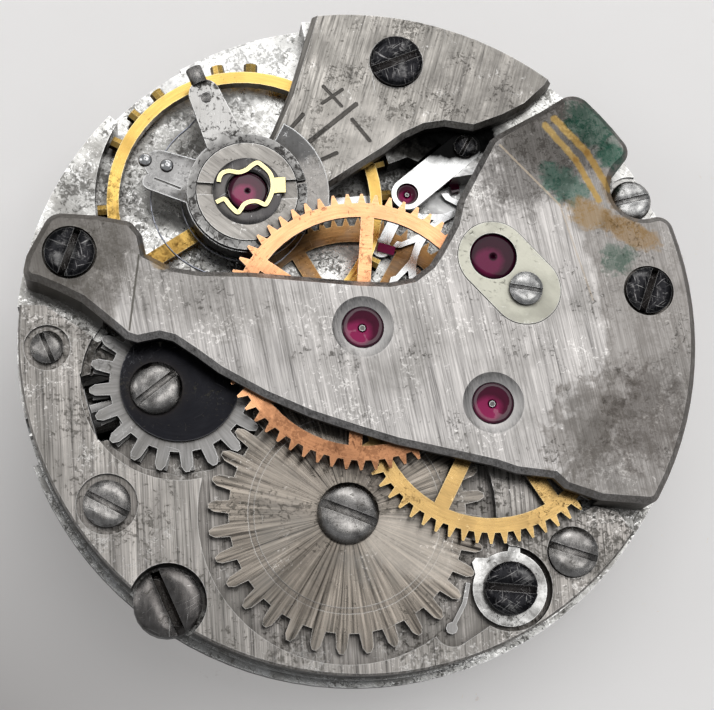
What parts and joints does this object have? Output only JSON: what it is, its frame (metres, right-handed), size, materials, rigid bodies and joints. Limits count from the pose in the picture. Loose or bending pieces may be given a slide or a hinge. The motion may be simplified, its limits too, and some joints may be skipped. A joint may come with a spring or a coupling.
{
  "type": "mechanical watch movement",
  "caption": "Hand-wound mechanical watch movement with a sweep seconds train, screwed balance, shock-held jewel and working winding and setting parts.",
  "frame": {"origin": "on the centre axis, at the dial seat of the main plate", "axes": "+Z from the dial seat to the bridges; +X to the right and +Y up as the bridge side is seen, with the winding stem's bore at 196.4 degrees, lower left"},
  "size_m": [0.0192, 0.0194, 0.0052],
  "materials": {
    "nickel": "fine brushed nickel plate with polished bevels",
    "steel": "brushed and polished steel",
    "dark_steel": "blued and darkened steel",
    "gilt": "gilt brass, light and matt",
    "rose_gilt": "rose gilt brass, polished",
    "balance_gilt": "gilt nickel alloy",
    "spring_steel": "polished spring steel",
    "ruby": "polished synthetic ruby",
    "gold": "polished gold-coloured spring metal"
  },
  "bodies": {
    "frame": {"main_plate": "nickel", "barrel_bridge": "nickel", "train_bridge": "nickel", "balance_cock": "nickel", "pallet_cock": "nickel", "crown_wheel_core": "dark_steel", "crown_wheel_screw": "dark_steel", "click_screw": "dark_steel", "click_spring": "steel", "yoke_spring": "steel", "shock_block": "nickel", "shock_spring": "gold", "balance_jewels": "ruby", "train_jewels": "ruby", "end_stone_plate": "steel", "end_stone_screw": "dark_steel", "bridge_screws": "dark_steel", "barrel_bridge_screws": "dark_steel", "case_screw": "dark_steel", "dial_key_screw": "dark_steel", "pallet_cock_screw": "dark_steel", "setting_lever_screw": "dark_steel"},
    "going_barrel": {"barrel_drum": "gilt", "barrel_cover": "gilt", "mainspring": "spring_steel"},
    "winding_arbor": {"barrel_arbor": "steel", "ratchet_wheel": "steel", "ratchet_screw": "dark_steel"},
    "crown_wheel": {"crown_wheel": "steel"},
    "winding_pinion": {"winding_pinion": "steel"},
    "sliding_pinion": {"sliding_pinion": "steel"},
    "click": {"click": "steel"},
    "setting_lever": {"setting_lever": "steel"},
    "yoke": {"yoke": "steel"},
    "setting_wheel": {"setting_wheel": "steel"},
    "centre_arbor": {"centre_wheel": "gilt", "centre_pinion": "steel", "cannon_pinion": "steel"},
    "third_arbor": {"third_wheel": "gilt", "third_pinion": "steel"},
    "seconds_arbor": {"sweep_wheel": "rose_gilt", "sweep_pinion": "steel"},
    "escape_arbor": {"escape_wheel": "steel", "escape_pinion": "steel"},
    "minute_wheel": {"minute_wheel": "gilt"},
    "hour_wheel": {"hour_wheel": "gilt"},
    "pallet_fork": {"pallet_fork": "steel", "pallet_stones": "ruby", "pallet_arbor": "steel"},
    "balance": {"balance_wheel": "balance_gilt", "balance_screws": "balance_gilt", "balance_staff": "steel", "roller": "steel", "impulse_jewel": "ruby", "hairspring": "spring_steel", "collet": "gilt"},
    "regulator": {"regulator": "steel"},
    "stud_carrier": {"stud_carrier": "steel", "stud": "steel", "stud_screw": "steel"}
  },
  "joints": [
    {"name": "seconds_turn", "type": "hinge", "parent": "frame", "child": "seconds_arbor", "pos_m": [0, 0, 0.0028], "axis": [0, 0, 1], "continuous": true},
    {"name": "third_turn", "type": "hinge", "parent": "frame", "child": "third_arbor", "pos_m": [0.00361, -0.00206, 0.0024], "axis": [0, 0, 1], "continuous": true},
    {"name": "centre_turn", "type": "hinge", "parent": "frame", "child": "centre_arbor", "pos_m": [0, 0, 0.001], "axis": [0, 0, 1], "continuous": true},
    {"name": "escape_turn", "type": "hinge", "parent": "frame", "child": "escape_arbor", "pos_m": [0.00367, 0.00211, 0.0012], "axis": [0, 0, 1], "continuous": true},
    {"name": "barrel_turn", "type": "hinge", "parent": "frame", "child": "going_barrel", "pos_m": [-0.0003, -0.00504, 0.0006], "axis": [0, 0, 1], "continuous": true},
    {"name": "minute_wheel_turn", "type": "hinge", "parent": "frame", "child": "minute_wheel", "pos_m": [-0.00228, 0.00033, 0.0003], "axis": [0, 0, 1], "continuous": true},
    {"name": "hour_wheel_turn", "type": "hinge", "parent": "frame", "child": "hour_wheel", "pos_m": [0, 0, 0.0001], "axis": [0, 0, 1], "continuous": true},
    {"name": "setting_wheel_turn", "type": "hinge", "parent": "frame", "child": "setting_wheel", "pos_m": [-0.00441, -0.0013, 0.0003], "axis": [0, 0, 1], "continuous": true},
    {"name": "winding_turn", "type": "hinge", "parent": "frame", "child": "winding_arbor", "pos_m": [-0.0003, -0.00504, 0.002], "axis": [0, 0, 1], "continuous": true, "deforming": ["mainspring"]},
    {"name": "crown_wheel_turn", "type": "hinge", "parent": "frame", "child": "crown_wheel", "pos_m": [-0.00499, -0.00147, 0.002], "axis": [0, 0, 1], "continuous": true},
    {"name": "winding_pinion_turn", "type": "hinge", "parent": "frame", "child": "winding_pinion", "pos_m": [-0.0071, -0.00209, 0.001], "axis": [-0.9593, -0.2823, 0], "continuous": true},
    {"name": "sliding_pinion_slide", "type": "slide", "parent": "winding_pinion", "child": "sliding_pinion", "axis": [-0.9593, -0.2823, 0], "range_m": [-0.00045, 0]},
    {"name": "click_swing", "type": "hinge", "parent": "frame", "child": "click", "pos_m": [0.00421, -0.00706, 0.002], "axis": [0, 0, 1], "range_deg": [-14, 0], "stiffness_Nm_per_rad": 0.00002, "deforming": ["click_spring"]},
    {"name": "setting_lever_swing", "type": "hinge", "parent": "frame", "child": "setting_lever", "pos_m": [-0.00866, -0.00056, 0.00015], "axis": [0, 0, 1], "range_deg": [-13.5, 0]},
    {"name": "yoke_swing", "type": "hinge", "parent": "frame", "child": "yoke", "pos_m": [-0.00687, 0.001, 0.00015], "axis": [0, 0, 1], "range_deg": [0, 9], "deforming": ["yoke_spring"]},
    {"name": "fork_swing", "type": "hinge", "parent": "frame", "child": "pallet_fork", "pos_m": [0.00144, 0.00429, 0.0012], "axis": [0, 0, 1], "range_deg": [-5.5, 5.5]},
    {"name": "balance_swing", "type": "hinge", "parent": "frame", "child": "balance", "pos_m": [-0.00321, 0.00398, 0.0015], "axis": [0, 0, 1], "range_deg": [-270, 270], "stiffness_Nm_per_rad": 0.00000012, "deforming": ["hairspring"]},
    {"name": "regulator_swing", "type": "hinge", "parent": "frame", "child": "regulator", "pos_m": [-0.00321, 0.00398, 0.0025], "axis": [0, 0, 1], "range_deg": [-15, 15]},
    {"name": "stud_carrier_swing", "type": "hinge", "parent": "frame", "child": "stud_carrier", "pos_m": [-0.00321, 0.00398, 0.00265], "axis": [0, 0, 1], "range_deg": [-10, 10]}
  ],
  "couplings": [
    {"joint": "third_turn", "follows": "seconds_turn", "ratio": -0.13333},
    {"joint": "centre_turn", "follows": "seconds_turn", "ratio": 0.016667},
    {"joint": "escape_turn", "follows": "seconds_turn", "ratio": -10},
    {"joint": "barrel_turn", "follows": "seconds_turn", "ratio": -0.0036458},
    {"joint": "minute_wheel_turn", "follows": "seconds_turn", "ratio": -0.0055556},
    {"joint": "hour_wheel_turn", "follows": "seconds_turn", "ratio": 0.0013889},
    {"joint": "setting_wheel_turn", "follows": "seconds_turn", "ratio": 0.01},
    {"joint": "crown_wheel_turn", "follows": "winding_turn", "ratio": -1.6},
    {"joint": "winding_pinion_turn", "follows": "winding_turn", "ratio": 2.6667},
    {"joint": "setting_lever_swing", "follows": "sliding_pinion_slide", "rad_per_m": 519.72},
    {"joint": "yoke_swing", "follows": "sliding_pinion_slide", "rad_per_m": -345.19}
  ]
}
